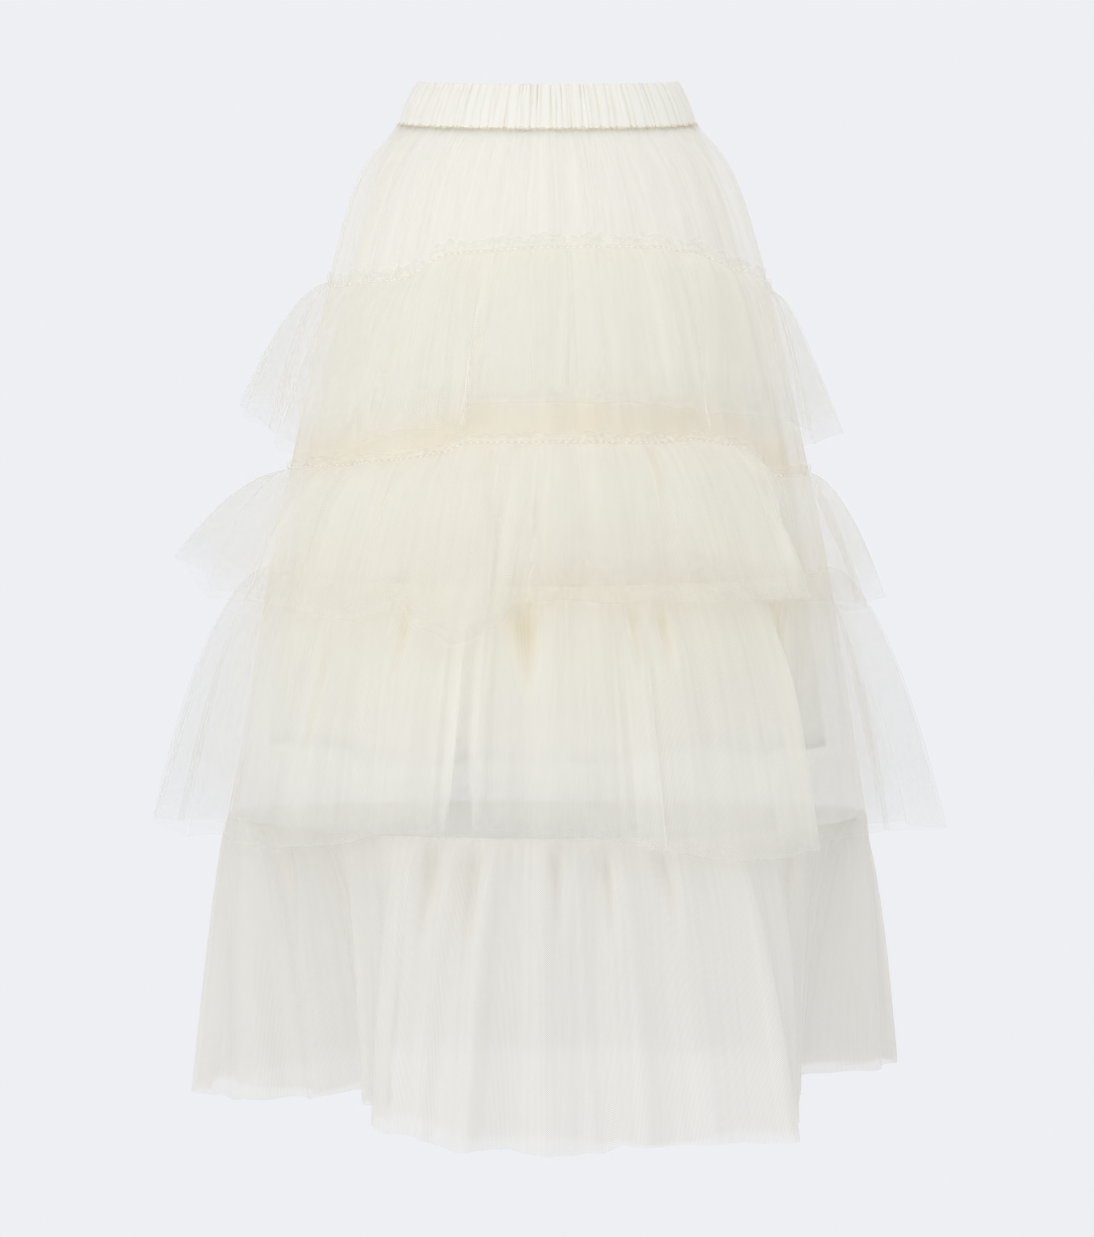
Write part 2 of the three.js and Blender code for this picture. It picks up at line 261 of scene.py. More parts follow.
def eased(rows, angle):
    """Reads a table that goes once round the skirt, easing from row to row."""
    rows = np.array(rows, float)
    at = np.append(rows[:, 0], rows[0, 0] + 360)
    values = np.vstack([rows[:, 1:], rows[:1, 1:]])
    degrees = np.degrees(angle) % 360
    last = np.searchsorted(at, degrees, side="right") - 1
    share = (degrees - at[last]) / (at[last + 1] - at[last])
    share = share * share * (3 - 2 * share)
    return tuple((values[last] + (values[last + 1] - values[last]) * share[:, None]).T)


def on_section(section, angle, line=None):
    """The reach and the drop of a section at each angle."""
    c, s = np.cos(angle), np.sin(angle)
    across = np.where(c < 0, section.left, section.right)
    through = np.where(s < 0, section.front, section.back)
    reach = 1 / np.hypot(c / across, s / through)
    if line:
        return reach, eased(line, angle)[0]
    middle_drop = np.where(s < 0, section.front_drop, section.back_drop)
    towards_middle = np.abs(reach * s / through)
    return reach, section.side_drop + towards_middle * (middle_drop - section.side_drop)


def down_through(levels, places):
    """Runs a smooth curve through levels of values and reads it at places, counted in levels."""
    levels = np.array(levels)
    ends = 2 * levels[0] - levels[1], 2 * levels[-1] - levels[-2]
    padded = np.vstack([ends[0][None], levels, ends[1][None]])
    first = np.clip(places.astype(int), 0, len(levels) - 2)
    t = (places - first)[:, None]
    a, b, c, d = (padded[first + k] for k in range(4))
    square = a - 2.5 * b + 2 * c - d / 2
    cube = 1.5 * (b - c) + (d - a) / 2
    return b + (c - a) / 2 * t + square * t**2 + cube * t**3


def wave(angle, count, seed):
    """A large wave round the skirt, from -1 to 1, unevenly spaced and unevenly deep."""
    drift = 0.8 * np.sin(3 * angle + seed) + 0.5 * np.sin(7 * angle + 2 * seed)
    return np.cos(count * angle + drift) * (0.8 + 0.2 * np.sin(5 * angle + seed))


def gathered(angle, down, count, seed):
    """Small folds with round ridges and narrow valleys, which lean and fade on their way down."""
    drift = 2.6 * np.sin(3 * angle + seed) + 1.7 * np.sin(8 * angle + 2 * seed)
    drift = drift + 1.1 * np.sin(17 * angle + 3 * seed) + 0.7 * np.sin(41 * angle + 5 * seed)
    lean = down * (1.8 * np.sin(4 * angle + 5 * seed) + 1.2 * np.sin(9 * angle + seed))
    ridge = np.abs(np.cos((count * angle + drift + lean) / 2))
    depth = 0.66 + 0.34 * np.sin(6 * angle + seed) * np.sin(13 * angle + 4 * seed + 2 * down)
    return (ridge - 0.64) * depth


def creased(angle, down, count, seed):
    """Narrow creases, unevenly spaced: up to 1 in the creases and 0 on the smooth cloth between them."""
    drift = 3.1 * np.sin(2 * angle + seed) + 2.0 * np.sin(5 * angle + 2 * seed)
    drift = drift + 1.3 * np.sin(11 * angle + seed) + 0.9 * np.sin(23 * angle + 3 * seed)
    drift = drift + 0.5 * np.sin(47 * angle + 5 * seed)
    lean = down * (0.7 * np.sin(7 * angle + 5 * seed) + 0.6 * np.sin(19 * angle + seed))
    ridge = np.abs(np.cos((count * angle + drift + lean) / 2))
    depth = 0.72 + 0.28 * np.sin(9 * angle + seed + 3 * down) * np.sin(21 * angle + 4 * seed - 2 * down)
    return (1 - ridge) ** 3 * depth


def swung(pleats, angle):
    """How far the pleats swing the cloth round the skirt, in radians."""
    swing = np.zeros_like(angle)
    for at, spread, most in pleats:
        aside = np.minimum(1, np.abs(np.degrees(angle) - at) / spread)
        swing += math.radians(most) * (1 - aside**2) ** 2
    return swing


def valleys_at(valleys, angle, fall):
    """How deep the valleys are at each point, in millimetres, and how much painted shade falls in them,
    from 0 to 1.
    """
    depth = np.zeros((len(fall), len(angle)))
    valley_shade = np.zeros_like(depth)
    for v in valleys:
        at = v.top_at + (v.hem_at - v.top_at) * fall
        aside = (np.degrees(angle)[None] - at + 180) % 360 - 180
        width = v.width * np.clip(1.5 - (fall - v.first) / (v.last - v.first), 0.35, 1.6)
        start = np.clip((fall - v.first) / 0.15 + 0.3, 0, 1) * (1 - np.exp(-fall / 0.03))
        along = start * np.clip((v.last - fall) / (v.last - v.first) * 1.6, 0, 1)
        trough = np.exp(-((aside / width) ** 2)) * along
        depth += v.depth * trough
        valley_shade = np.maximum(valley_shade, np.exp(-((aside / width * 1.5) ** 2)) * along * v.depth / 16)
    return depth, valley_shade


def points_at(angle, reach, drop):
    """Points in millimetres, one row of them for each row of reaches."""
    height = np.broadcast_to(ORIGIN_DROP - drop, np.shape(reach))
    return np.stack([reach * np.cos(angle), reach * np.sin(angle), height], axis=-1)


def moved_out(points, distance):
    """Moves closed rows of points level and square to their rows, out of the skirt."""
    along = np.roll(points, -1, axis=1) - np.roll(points, 1, axis=1)
    outward = np.stack([along[..., 1], -along[..., 0], np.zeros(along.shape[:-1])], axis=-1)
    outward /= np.linalg.norm(outward, axis=-1, keepdims=True)
    return points + outward * np.broadcast_to(distance, points.shape[:2])[..., None]


def streaks(rows, columns, width, seed):
    """Soft random streaks down the cloth, of a width given as a share of the way round."""
    knots = np.random.default_rng(seed).normal(size=(6, columns))
    knots = 0.5 * knots[:5] + knots[5]
    waves = np.fft.rfft(knots, axis=1)
    waves *= np.exp(-((np.arange(waves.shape[1]) * width) ** 2) * 2)
    knots = np.fft.irfft(waves, columns, axis=1)
    knots /= knots.std()
    place = np.linspace(0, 3.999, rows)
    share = place % 1
    share = (share * share * (3 - 2 * share))[:, None]
    first = place.astype(int)
    return knots[first] * (1 - share) + knots[first + 1] * share


# Streaks of uneven net: their width as a share of the way round, and their strength.
STREAKS = ((0.002, 0.02), (0.008, 0.03), (0.03, 0.1))
SEAM_WIDTH = 0.012  # of the strip that a side seam makes denser, in radians


def net_cover(points, plain, cut, cover, seed):
    """The share of the light that the net stops at each point, from how much of its cut lies there."""
    laid, flat = (np.linalg.norm(np.roll(p, -1, axis=1) - p, axis=-1) for p in (points, plain))
    flat = (flat + np.roll(flat, 7, axis=1) + np.roll(flat, -7, axis=1)) / 3
    layers = cut / MM * laid / laid.sum(axis=1, keepdims=True) / np.maximum(flat, 0.05)
    layers = np.clip((layers + np.roll(layers, 1, axis=1)) / 2, 0.5, 6) ** 0.6
    uneven = 1
    for k, (width, strength) in enumerate(STREAKS):
        uneven = uneven + strength * streaks(*layers.shape, width, seed + k)
    layers *= uneven
    layers += np.exp(-((np.sin(all_round(layers.shape[1])) / SEAM_WIDTH) ** 2))
    return 1 - (1 - cover) ** layers


def folded(angle, down, count, seed):
    """Broad soft folds, unevenly spaced and unevenly deep, from -1 to 1."""
    drift = 2.2 * np.sin(3 * angle + seed) + 1.6 * np.sin(7 * angle + 2 * seed)
    drift = drift + 0.9 * np.sin(13 * angle + seed)
    lean = down * (1.2 * np.sin(4 * angle + 5 * seed) + 0.8 * np.sin(9 * angle + seed))
    phase = count * angle + drift + lean
    depth = 0.62 + 0.38 * np.sin(5 * angle + seed) * np.sin(11 * angle + 4 * seed + 2 * down)
    return np.cos(phase + 0.55 * np.sin(phase + seed)) * depth


# Meshes


def new_piece(mesh, material, replaced=()):
    """A finished piece, which rides on the skirt's one body."""
    mesh.materials.append(material)
    mesh.polygons.foreach_set("use_smooth", [True] * len(mesh.polygons))
    piece = bpy.data.objects.new(mesh.name, mesh)
    bpy.context.scene.collection.objects.link(piece)
    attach(piece, "root")
    if replaced:
        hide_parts(*replaced)
    return piece


def ring_mesh(name, points, cut=None, **shares):
    """A grid bent once round the skirt onto rows of points, with its UV map in metres of cut cloth."""
    rows, columns = points.shape[:2]
    points = points * MM
    bm = bmesh.new()
    bmesh.ops.create_grid(bm, x_segments=columns, y_segments=rows - 1, size=0.5)
    mesh = bpy.data.meshes.new(name)
    bm.to_mesh(mesh)
    bm.free()
    place = np.empty(len(mesh.vertices) * 3)
    mesh.vertices.foreach_get("co", place)
    place = place.reshape(-1, 3)
    column = np.rint((place[:, 0] + 0.5) * columns).astype(int)
    row = np.rint((0.5 - place[:, 1]) * (rows - 1)).astype(int)
    mesh.vertices.foreach_set("co", points[row, column % columns].ravel())
    ahead = np.linalg.norm(np.roll(points, -1, axis=1) - points, axis=-1).mean(axis=0)
    below = np.linalg.norm(np.diff(points, axis=0), axis=-1).mean(axis=1)
    across = np.concatenate([[0], np.cumsum(ahead)])
    if cut:
        across *= cut / across[-1]
    down = np.concatenate([[0], np.cumsum(below)])
    corner = np.empty(len(mesh.loops), int)
    mesh.loops.foreach_get("vertex_index", corner)
    uv = np.stack([across[column[corner]], -down[row[corner]]], axis=-1)
    mesh.uv_layers.new(name="UVMap").data.foreach_set("uv", uv.ravel())
    for key, share in shares.items():
        layer = mesh.attributes.new(key, "FLOAT", "POINT")
        layer.data.foreach_set("value", np.broadcast_to(share, points.shape[:2])[row, column % columns])
    bm = bmesh.new()
    bm.from_mesh(mesh)
    bmesh.ops.remove_doubles(bm, verts=bm.verts, dist=1e-6)
    bm.to_mesh(mesh)
    bm.free()
    return mesh


# Materials


class Wire:
    """An output socket of a graph. Sums on it add Math nodes."""

    def __init__(self, graph, socket):
        self.graph, self.socket = graph, socket

    def other(self, name):
        return Wire(self.graph, self.socket.node.outputs[name])

    def maths(self, operation, *others):
        return self.graph.node("ShaderNodeMath", {"operation": operation}, self, *others)

    def __add__(self, other):
        return self.maths("ADD", other)

    def __sub__(self, other):
        return self.maths("SUBTRACT", other)

    def __rsub__(self, other):
        return self.graph.node("ShaderNodeMath", {"operation": "SUBTRACT"}, other, self)

    def __mul__(self, other):
        return self.maths("MULTIPLY", other)

    __radd__, __rmul__ = __add__, __mul__

    def between(self, low, high):
        return self.maths("MAXIMUM", low).maths("MINIMUM", high)


class Graph:
    """The nodes of one material."""

    def __init__(self, user):
        if isinstance(user, str):
            user = bpy.data.materials.new(user)
            user.use_nodes = True
        self.material, self.tree = user, user.node_tree
        self.shader = self.tree.nodes.get("Principled BSDF")

    def put(self, socket, value):
        if isinstance(value, Wire):
            self.tree.links.new(value.socket, socket)
        else:
            socket.default_value = value

    def node(self, kind, settings, *values, **named):
        """Adds a node, with its settings first and then its inputs, in order or by name."""
        node = self.tree.nodes.new(kind)
        for key, value in settings.items():
            setattr(node, key, value)
        for socket, value in zip(node.inputs, values):
            self.put(socket, value)
        for key, value in named.items():
            self.put(node.inputs[key], value)
        return Wire(self, node.outputs[0])

    def cloth_place(self):
        """How far across and down the cut cloth a point lies, in metres."""
        place = self.node("ShaderNodeUVMap", {"uv_map": "UVMap"})
        across = self.node("ShaderNodeSeparateXYZ", {}, place)
        return across, across.other("Y")

    def attribute(self, name):
        """What a mesh says of its points under this name."""
        return self.node("ShaderNodeAttribute", {"attribute_name": name}).other("Fac")

    def noise(self, across, down):
        """Even noise from 0 to 1, of features a unit wide."""
        place = self.node("ShaderNodeCombineXYZ", {}, across, down)
        settings = {"noise_dimensions": "2D"}
        return self.node("ShaderNodeTexNoise", settings, Vector=place, Scale=1.0, Detail=2.0)

    def tinted(self, share, first, second):
        """A colour between two colours."""
        mix = self.node("ShaderNodeMix", {"data_type": "RGBA"}, share).socket.node
        for socket, colour in ((mix.inputs[6], first), (mix.inputs[7], second)):
            self.put(socket, colour if isinstance(colour, Wire) else (*colour, 1))
        return Wire(self, mix.outputs[2])

    def let_through(self, alpha, colour, share):
        """Scatters a share of the light to the far side of the threads."""
        glow = self.node("ShaderNodeBsdfTranslucent", {}, Color=(*colour, 1))
        holes = self.node("ShaderNodeBsdfTransparent", {})
        threads = self.node("ShaderNodeMixShader", {}, alpha, holes, glow)
        both = self.node("ShaderNodeMixShader", {}, share, Wire(self, self.shader.outputs[0]), threads)
        self.put(self.tree.nodes["Material Output"].inputs["Surface"], both)

    def finish(self, bump=None, bump_distance=0.001, bump_strength=1.0, **sockets):
        for name, value in sockets.items():
            self.put(self.shader.inputs[name.replace("_", " ")], value)
        if bump is not None:
            settings = {"Strength": bump_strength, "Distance": bump_distance, "Height": bump}
            self.put(self.shader.inputs["Normal"], self.node("ShaderNodeBump", {}, **settings))
        return self.material


def darker(colour, share):
    """A colour with one share of red, green and blue."""
    return tuple(c * share for c in colour)


def shaded(colour, shares):
    """A colour with its own share of red, green and blue."""
    return tuple(c * share for c, share in zip(colour, shares))


def net_material(name, colour, deep, cell):
    """Fine six-sided net, which stops as much light as its cover says."""
    g = Graph(name)
    across, down = g.cloth_place()
    turns = TURN / (cell * math.sqrt(3) / 2)
    holes = (across * turns).maths("COSINE")
    for side in (-0.5, 0.5):
        slanting = across * (turns * side) + down * (turns * math.sqrt(3) / 2)
        holes = holes + slanting.maths("COSINE")
    alpha = g.attribute("cover") * (1 - holes * 0.12)
    g.let_through(alpha, colour, 0.5)
    # Painted shade: the net turns to its shade tint where the mesh's painted-shade share says.
    return g.finish(
        Base_Color=g.tinted(g.attribute("crease"), colour, shaded(colour, deep)),
        Roughness=0.8,
        Alpha=alpha,
        **{"Sheen Weight": 0.1, "Specular IOR Level": 0.15},
    )


def woven_material(name, colour, deep, thread, crease_width, crease_depth):
    """A plain weave, matt, with soft creases down the cloth, a little painted shade in their hollows, and
    more painted shade where the mesh marks it.
    """
    g = Graph(name)
    across, down = g.cloth_place()
    weft = (across * (TURN / thread)).maths("SINE")
    warp = (down * (TURN / thread)).maths("SINE")
    weave = weft * warp
    # The creases' noise shapes the bump and also paints a little shade into the colour where they sink.
    crease = g.noise(across * (1 / crease_width), down * (0.12 / crease_width))
    cloudy = g.noise(across * 25, down * 25)
    tint = (0.5 + (crease - 0.5) * 0.5 + (cloudy - 0.5) * 0.4 + weave * 0.12).between(0, 1)
    plain = g.tinted(tint, darker(colour, 0.96), colour)
    # Painted shade: the cloth turns to its shade tint where the mesh's painted-shade share says.
    return g.finish(
        Base_Color=g.tinted(g.attribute("crease"), plain, shaded(colour, deep)),
        Roughness=0.85 + weave * 0.05,
        bump=crease * (crease_depth / 0.0005) + weave * 0.12,
        bump_distance=0.0005,
        bump_strength=0.7,
        **{"Sheen Weight": 0.2, "Specular IOR Level": 0.25},
    )


def thread_material(name, colour):
    """Matt sewing thread with a fine twist."""
    g = Graph(name)
    place = g.node("ShaderNodeTexCoord", {}).other("Object")
    twist = g.node("ShaderNodeTexNoise", {}, Vector=place, Scale=900.0)
    return g.finish(Base_Color=g.tinted(twist, darker(colour, 0.94), colour), Roughness=0.7)


# Sizes and colours that a user would change


class SkirtSizes(bpy.types.PropertyGroup):
    band_wall: FloatProperty(
        name="Waistband", description="Thickness of the gathered waistband", default=0.0038, unit="LENGTH"
    )
    band_gather: FloatProperty(
        name="Waistband gathers", description="Depth of the gathers", default=0.0019, unit="LENGTH"
    )
    net_cell: FloatProperty(
        name="Net hole", description="From one hole of the net to the next", default=0.0015, unit="LENGTH"
    )
    layer_gap: FloatProperty(
        name="Layers", description="Between a ruffle's two layers at the hem", default=0.006, unit="LENGTH"
    )
    lining_wall: FloatProperty(
        name="Lining", description="Thickness of the lining", default=0.0008, unit="LENGTH"
    )
    stitch_length: FloatProperty(
        name="Stitch", description="Length of a gathering stitch", default=0.0032, unit="LENGTH"
    )
    floor_clearance: FloatProperty(
        name="Floor", description="From the hem down to the floor", default=0.25, unit="LENGTH"
    )


class SkirtColours(bpy.types.PropertyGroup):
    band: FloatVectorProperty(
        name="Waistband", description="Ivory cloth", default=(0.85, 0.834, 0.763), subtype="COLOR"
    )
    net: FloatVectorProperty(
        name="Net", description="Ivory net", default=(0.965, 0.955, 0.905), subtype="COLOR"
    )
    lining: FloatVectorProperty(
        name="Lining", description="Cream lining", default=(0.86, 0.845, 0.785), subtype="COLOR"
    )
    thread: FloatVectorProperty(
        name="Thread", description="Sewing thread", default=(0.88, 0.86, 0.76), subtype="COLOR"
    )
    backdrop: FloatVectorProperty(
        name="Backdrop",
        description="Pale floor and surround",
        default=(0.855, 0.863, 0.896),
        subtype="COLOR",
    )


# Pieces

BAND_COLUMNS = 896
BAND_ROWS = 41
BAND_GATHERS = 66
BAND_CREASES = 97
BAND_PUFFS = 40
BAND_SQUARENESS = 0.32  # 1 for a casing of round section, less for a flatter one
SHEET_COLUMNS = 1040
UNDERSKIRT_ROWS = 60
UNDERSKIRT_CUT = 1.95  # all round, in metres
YOKE_TUCKS = 150
YOKE_GATHERS = 78
YOKE_FOLDS = 26
LINING_COLUMNS = 320
LINING_ROWS = 40
LINING_FOLDS = 24
# Painted shade: the lining gets darker and cooler towards its hem.
LINING_HEM_SHADE = (0.92, 0.93, 0.96)  # the share of its colour that the lining has near its hem
HEM_ROWS = (1.0, 1.8, 1.8)  # how far inside the lining each row of its turned hem lies
RUFFLE_ROWS = 40
HEADING_ROWS = 5
HEM_SPAN = 121  # the columns over which a hem's drop is averaged
THREAD_WIDTH = 0.4
STITCH_OUTSET = 0.4  # a stitch's middle outside the seam


class SKIRT_OT_waistband(bpy.types.Operator):
    """Makes the waistband, a casing gathered over elastic"""

    bl_idname = "skirt.waistband"
    bl_label = "Waistband"

    def execute(self, context):
        sizes, colours = context.scene.skirt_sizes, context.scene.skirt_colours
        angle = all_round(BAND_COLUMNS)
        # Once round the casing's section, from its top fold.
        turn = math.pi / 2 - np.linspace(0, TURN, BAND_ROWS)
        out = np.sign(np.cos(turn)) * np.abs(np.cos(turn)) ** BAND_SQUARENESS
        up = np.sign(np.sin(turn)) * np.abs(np.sin(turn)) ** BAND_SQUARENESS
        levels = [on_section(section, angle) for section in BAND]
        place = 1 - up
        reach = down_through([level[0] for level in levels], place)
        drop = down_through([level[1] for level in levels], place)
        wall = sizes.band_wall / MM
        height = (1 - up[:, None]) / 2  # from 0 at the top edge to 1 at the bottom
        creases = creased(angle[None], height, BAND_GATHERS, 0.7)
        small = creased(angle[None], height, BAND_CREASES, 2.9) * 0.7
        puffs = folded(angle[None], height, BAND_PUFFS, 1.9)
        shown = np.clip(out, 0, 1)[:, None] ** 0.5
        depth = sizes.band_gather / MM
        relief = depth * (puffs * 0.25 - np.maximum(creases, small))
        plain = points_at(angle[None], reach, drop)
        points = moved_out(plain, -wall / 2 + out[:, None] * wall / 2 + shown * relief)
        points[..., 2] -= up[:, None] * (np.maximum(creases, small) * 1.6 + puffs * 0.6)
        # Painted shade in the casing's creases and along its bottom edge, where it meets the net.
        crease = np.maximum(creases, small) * shown * 0.32
        crease = np.maximum(crease, np.clip((height - 0.97) * 25, 0, 1) * (0.4 + 0.3 * puffs))
        material = woven_material("band_cloth", colours.band, AMBER_SHADE, 0.0005, 0.004, 0.0002)
        mesh = ring_mesh("waistband_cloth", points, crease=crease)
        piece = new_piece(mesh, material, ["waistband"])
        return {"FINISHED"}


def underskirt_levels(angle):
    """The reach and drop of the underskirt at each of its levels, with the gathers of its solid."""
    reaches, drops = [], []
    for level, section in enumerate(UNDERSKIRT):
        reach, drop = on_section(section, angle, STITCH_LINES.get(level))
        reaches.append(reach + CARRIER_WAVE_DEPTHS[level] * wave(angle, CARRIER_WAVES, 2.1))
        drops.append(drop)
    return reaches, drops


def places_down(drops, shares):
    """Places between levels, counted in levels, at shares of the way down the cloth."""
    middle = [np.mean(drop) for drop in drops]
    return np.interp(middle[0] + (middle[-1] - middle[0]) * shares, middle, range(len(middle)))


class SKIRT_OT_underskirt(bpy.types.Operator):
    """Makes the net underskirt that carries the ruffles"""

    bl_idname = "skirt.underskirt"
    bl_label = "Underskirt"

    def execute(self, context):
        sizes, colours = context.scene.skirt_sizes, context.scene.skirt_colours
        angle = all_round(SHEET_COLUMNS)
        reaches, drops = underskirt_levels(angle)
        material = net_material("underskirt_net", colours.net, AMBER_SHADE, sizes.net_cell)
        shares = np.linspace(0, 1, UNDERSKIRT_ROWS) ** 1.5
        place = places_down(drops, shares)
        plain = points_at(angle[None], down_through(reaches, place), down_through(drops, place))
        down = shares[:, None]
        fade = np.exp(-down / 0.12)
        start = 1 - np.exp(-down / 0.015)
        tuck = (gathered(angle[None], down, YOKE_TUCKS, 6.1) * 1.4 + 0.6) * np.exp(-down / 0.006)
        gathers = -creased(angle[None], down * 3, YOKE_GATHERS, 3.3) * (0.8 + 0.7 * start) * fade
        fold_depth = 5.2 * (1 - np.exp(-down / 0.05)) * (0.4 + 0.6 * fade)
        folds = (folded(angle[None], down, YOKE_FOLDS, 4.3) + 0.4) * fold_depth
        valley, valley_shade = valleys_at(YOKE_VALLEYS, angle, down)
        points = moved_out(plain, tuck + gathers + folds - valley)
        cover = net_cover(points, plain, UNDERSKIRT_CUT, 0.36, 33)
        # Painted shade under the hems of ruffles 1 and 2, whose places are counted in levels.
        shade_under_hems = np.exp(-(((place - 2.9) / 0.14) ** 2))
        shade_under_hems = shade_under_hems + 0.6 * np.exp(-(((place - 3.95) / 0.3) ** 2))
        # Painted shade in the ditch under the waistband, in small scallops.
        ditch_shade_scallops = 0.7 + 0.3 * np.sin(130 * angle + 4 * np.sin(5 * angle))
        ditch_shade = np.exp(-((down / 0.003) ** 2)) * ditch_shade_scallops
        # All painted shade: in the ditch, under the hems, in the gathers' hollows and in the valleys.
        crease = np.clip(ditch_shade + shade_under_hems[:, None] - gathers * 0.2 + 0.6 * valley_shade, 0, 1)
        # The first row is hidden in the band.
        points = np.vstack([moved_out(plain[:1], -1.9) + (0, 0, 3.5), points])
        cover, crease = (np.vstack([share[:1], share]) for share in (cover, crease))
        mesh = ring_mesh("underskirt_net", points, UNDERSKIRT_CUT, cover=cover, crease=crease)
        piece = new_piece(mesh, material, ["carrier_front", "carrier_back"])
        return {"FINISHED"}


class SKIRT_OT_lining(bpy.types.Operator):
    """Makes the opaque lining that shows through the net"""

    bl_idname = "skirt.lining"
    bl_label = "Lining"

    def execute(self, context):
        sizes, colours = context.scene.skirt_sizes, context.scene.skirt_colours
        angle = all_round(LINING_COLUMNS)
        levels = [on_section(section, angle) for section in LINING]
        drops = [level[1] for level in levels]
        place = places_down(drops, np.linspace(0, 1, LINING_ROWS))
        place = np.append(place, place[: -len(HEM_ROWS) - 1 : -1])
        inside = np.append(np.zeros(LINING_ROWS), HEM_ROWS)[:, None]
        down = (place / place.max())[:, None]
        reach = down_through([level[0] for level in levels], place) - LINING_INSET - 1 - inside
        uneven = 5 * np.sin(3 * angle + 1) + 4 * np.sin(8 * angle) + 2 * np.sin(19 * angle + 2)
        plain = points_at(angle[None], reach, down_through(drops, place) + uneven * down)
        folds = folded(angle[None], down, LINING_FOLDS, 1.2) * (0.8 + 3.0 * down)
        points = moved_out(plain, folds)
        material = woven_material("lining_cloth", colours.lining, LINING_HEM_SHADE, 0.0006, 0.012, 0.0002)
        # Painted shade over the last quarter of the lining's drop, strongest at the hem.
        mesh = ring_mesh("lining_cloth", points, crease=np.clip(down * 4 - 3, 0, 1) ** 1.5)
        piece = new_piece(mesh, material, ["lining_front", "lining_back"])
        wall = piece.modifiers.new("wall", "SOLIDIFY")
        wall.thickness = sizes.lining_wall
        wall.offset = -1
        return {"FINISHED"}


